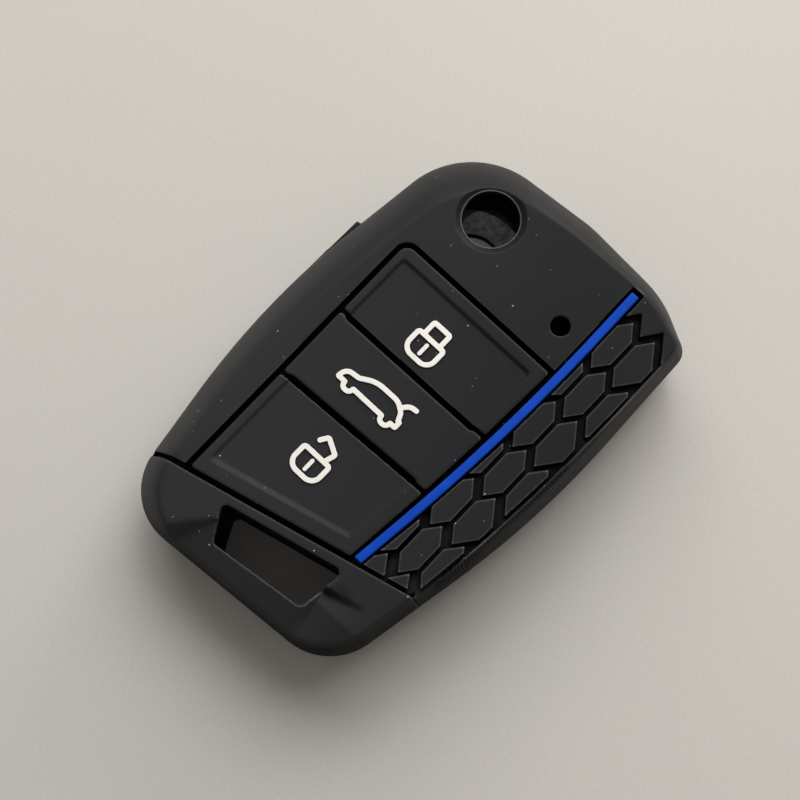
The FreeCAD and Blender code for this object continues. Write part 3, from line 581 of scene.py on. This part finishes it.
def make_pieces():
    for node, (voxel, rounds, kept) in FINISH.items():
        piece = moulded(node, f"{node}_moulded", voxel * MM, rounds, kept)
        piece.data.materials.clear()
        piece.data.materials.append(MATERIALS[SLOT_OF[node]])
        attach(piece, BODY_OF[node])
        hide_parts(node)


def add_mesh(name, points, faces, material):
    mesh = bpy.data.meshes.new(name)
    mesh.from_pydata(points, [], faces)
    mesh.materials.append(material)
    piece = bpy.data.objects.new(name, mesh)
    SCENE.collection.objects.link(piece)
    return piece


# Fine ribs along the rim beside the grip, in millimetres: the stripe's ends and bend, which the
# grip is set out from, and each rib's reach from the stripe's line

STRIPE_LOW = Vector((11.5, -22.3))
STRIPE_TOP = Vector((14.05, 33.5))
STRIPE_BEND_X = 14.55
RIB_FROM = -19.6
RIB_TO = 8.0
RIB_PITCH = 0.6
RIB_HALF = 0.17
RIB_INNER = 9.7
RIB_OUTER = 10.5
RIB_STEP = 0.05
RIB_LOWEST = 12.5
RIB_SHORTEST = 0.25
RIB_ROOT = 0.1
RIB_TOP = 0.17
RIB_NARROW = 0.07
RIB_SHARES = (0.0, 0.4, 0.7, 1.0)
# The ribs get no pale edges, neither wear nor painted highlight
RIB_WEAR_AND_HIGHLIGHT = 0.0
ABOVE_COVER = 40.0

# A rib's points are four rings of four: its two ends are closed, and each ring is joined to the next
RIB_FACES = [(0, 1, 2, 3), (15, 14, 13, 12)] + [
    (first + (corner + 1) % 4, first + corner, first + 4 + corner, first + 4 + (corner + 1) % 4)
    for first in (0, 4, 8) for corner in range(4)
]


def stripe_x(y):
    share = (y - STRIPE_LOW.y) / (STRIPE_TOP.y - STRIPE_LOW.y)
    bulge = 2 * STRIPE_BEND_X - STRIPE_LOW.x - STRIPE_TOP.x
    return STRIPE_LOW.x + (STRIPE_TOP.x - STRIPE_LOW.x) * share + bulge * (share - share * share)


def rim_place(tree, x, y):
    """Place and direction of the rim's surface seen from the front, or None beside the cover."""
    hit, direction = tree.ray_cast(Vector((x, y, ABOVE_COVER)) * MM, Vector((0, 0, -1)))[:2]
    return (hit / MM, direction) if hit else None


def rib_reaches(tree, y):
    """Four reaches of a rib from the stripe's line, the last where the rim has fallen away."""
    outer = RIB_OUTER
    while outer > RIB_INNER:
        sides = [rim_place(tree, stripe_x(y) + outer, y + side) for side in (-RIB_HALF, RIB_HALF)]
        if all(side and side[0].z > RIB_LOWEST for side in sides):
            break
        outer -= RIB_STEP
    return [RIB_INNER + (outer - RIB_INNER) * share for share in RIB_SHARES]


def rib_points(tree, y, reaches):
    """Four points round the rib at each of its reaches: its two roots and its narrower top."""
    points = []
    for reach in reaches:
        for along, rise in (
            (-RIB_HALF, -RIB_ROOT), (RIB_NARROW - RIB_HALF, RIB_TOP),
            (RIB_HALF - RIB_NARROW, RIB_TOP), (RIB_HALF, -RIB_ROOT),
        ):
            place, direction = rim_place(tree, stripe_x(y) + reach, y + along)
            points.append((place + direction * rise) * MM)
    return points


def make_ribs():
    tree = surface_tree(bpy.data.objects["front_shell_moulded"].data)
    points = []
    faces = []
    for index in range(int((RIB_TO - RIB_FROM) / RIB_PITCH) + 1):
        y = RIB_FROM + RIB_PITCH * index
        reaches = rib_reaches(tree, y)
        if reaches[-1] - RIB_INNER < RIB_SHORTEST:
            continue
        first = len(points)
        points += rib_points(tree, y, reaches)
        faces += [tuple(first + corner for corner in face) for face in RIB_FACES]
    ribs = add_mesh("rim_ribs", points, faces, silicone("black_silicone_ribs", RIB_WEAR_AND_HIGHLIGHT))
    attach(ribs, "sleeve")


# Fine lip round the release hole, in millimetres

LIP_CENTRE = Vector((-9.15, 27.58, 16.3))
LIP_RADIUS = 4.44
LIP_TUBE = 0.15
LIP_STEPS = 160
LIP_SIDES = 12


def make_lip():
    points = []
    faces = []
    for step in range(LIP_STEPS):
        turn = 2 * math.pi * step / LIP_STEPS
        here = step * LIP_SIDES
        following = (step + 1) % LIP_STEPS * LIP_SIDES
        for side in range(LIP_SIDES):
            tilt = 2 * math.pi * side / LIP_SIDES
            radius = LIP_RADIUS + LIP_TUBE * math.cos(tilt)
            rise = LIP_TUBE * math.sin(tilt)
            offset = Vector((radius * math.cos(turn), radius * math.sin(turn), rise))
            points.append((LIP_CENTRE + offset) * MM)
            beside = (side + 1) % LIP_SIDES
            faces.append((here + side, following + side, following + beside, here + beside))
    lip = add_mesh("release_lip", points, faces, MATERIALS["black_silicone"])
    lip.data.shade_smooth()
    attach(lip, "sleeve")


# Floor: its reach from the middle, its two tones with the width of their clouds, its flecks and its grain

FLOOR_HALF = 0.9
FLOOR_TONES = ((0.637, 0.626, 0.596, 1), (0.607, 0.597, 0.57, 1))
FLOOR_CLOUD = 120 * MM
FLOOR_FLECK = 0.5 * MM
FLOOR_FLECK_COLOUR = (0.3, 0.295, 0.28, 1)
FLOOR_FLECK_MOST = 0.12
FLOOR_SHOWN = (0.3, 0.7)
FLOOR_ROUGHNESS = 0.6
FLOOR_GRAIN = 0.6 * MM
FLOOR_GRAIN_DEPTH = 0.02 * MM
FLOOR_GRAIN_STRENGTH = 0.3


def floor_material():
    """Pale matte floor with wide faint clouds and fine flecks."""
    material, shader = new_material("floor")
    cloud = spread(material, noise(material, FLOOR_CLOUD), FLOOR_SHOWN)
    fleck = spread(material, noise(material, FLOOR_FLECK, detail=2.0), FLOOR_SHOWN, (0.0, FLOOR_FLECK_MOST))
    base = mixed(material, cloud, *FLOOR_TONES)
    base = mixed(material, fleck, base, FLOOR_FLECK_COLOUR)
    grain = bump(material, noise(material, FLOOR_GRAIN), FLOOR_GRAIN_DEPTH, FLOOR_GRAIN_STRENGTH)
    put(material, shader.inputs["Base Color"], base)
    put(material, shader.inputs["Normal"], grain)
    shader.inputs["Roughness"].default_value = FLOOR_ROUGHNESS
    return material


def make_floor():
    corners = [(x * FLOOR_HALF, y * FLOOR_HALF, 0.0) for x, y in ((-1, -1), (1, -1), (1, 1), (-1, 1))]
    floor = add_mesh("floor", corners, [(0, 1, 2, 3)], floor_material())


# Light: each soft lamp's place to the photograph's right and up and above the floor, its width, its power
# in watts and its colour

WORLD_COLOUR = (1.0, 0.95, 0.89, 1)
WORLD_STRENGTH = 0.26
DAYLIGHT = (1.0, 0.99, 0.97)
WARM_LIGHT = (1.0, 0.91, 0.8)
SOFT_LAMPS = {
    "window": ((0.25, 0.4, 0.62), 0.6, 2.8, DAYLIGHT),
    "sky": ((-0.12, 0.78, 0.64), 0.9, 5.1, DAYLIGHT),
    "wall": ((0.5, 0.68, 0.2), 0.5, 3.6, WARM_LIGHT),
}

# Narrow lamp over the release hole, which lights the inside of the back wall
HOLE_LAMP_PLACE = (0.0123, -0.034, 0.5)
HOLE_LAMP_CONE = math.radians(3.4)
HOLE_LAMP_RADIUS = 0.008
HOLE_LAMP_POWER = 0.9
HOLE_LAMP_COLOUR = (1.0, 0.95, 0.88)


def aside(right, up, height):
    """Place given by the photograph's right and up directions along the floor."""
    return Vector((
        math.cos(CAMERA_AZIMUTH) * right - math.sin(CAMERA_AZIMUTH) * up,
        math.sin(CAMERA_AZIMUTH) * right + math.cos(CAMERA_AZIMUTH) * up,
        height,
    ))


def add_lamp(name, kind, place, aim, power, colour):
    lamp = bpy.data.lights.new(name, kind)
    lamp.energy = power
    lamp.color = colour
    holder = bpy.data.objects.new(name, lamp)
    holder.location = place
    holder.rotation_euler = (aim - place).to_track_quat("-Z", "Y").to_euler()
    SCENE.collection.objects.link(holder)
    return lamp


def make_light():
    world = bpy.data.worlds.new("studio")
    world.use_nodes = True
    backdrop = world.node_tree.nodes["Background"]
    backdrop.inputs["Color"].default_value = WORLD_COLOUR
    backdrop.inputs["Strength"].default_value = WORLD_STRENGTH
    SCENE.world = world
    for name, (place, width, power, colour) in SOFT_LAMPS.items():
        lamp = add_lamp(name, "AREA", aside(*place), Vector((0, 0, 0)), power, colour)
        lamp.shape = "DISK"
        lamp.size = width
    narrow = add_lamp(
        "hole_lamp", "SPOT", aside(*HOLE_LAMP_PLACE), LIP_CENTRE * MM, HOLE_LAMP_POWER, HOLE_LAMP_COLOUR,
    )
    narrow.spot_size = HOLE_LAMP_CONE
    narrow.spot_blend = 1.0
    narrow.shadow_soft_size = HOLE_LAMP_RADIUS


def make_camera():
    back = Vector((
        math.sin(CAMERA_AZIMUTH) * math.cos(CAMERA_ELEVATION),
        -math.cos(CAMERA_AZIMUTH) * math.cos(CAMERA_ELEVATION),
        math.sin(CAMERA_ELEVATION),
    ))
    lens = bpy.data.cameras.new("camera")
    lens.lens = CAMERA_LENS
    lens.sensor_width = CAMERA_SENSOR
    lens.shift_x = -TARGET_RIGHT
    lens.shift_y = TARGET_DOWN
    lens.clip_start = CAMERA_NEAREST
    camera = bpy.data.objects.new("camera", lens)
    camera.location = CAMERA_TARGET + back * CAMERA_DISTANCE
    camera.rotation_euler = (-back).to_track_quat("-Z", "Y").to_euler()
    SCENE.collection.objects.link(camera)
    SCENE.camera = camera


make_pieces()
make_ribs()
make_lip()
make_floor()
make_light()
make_camera()
SCENE.view_settings.view_transform = "Standard"
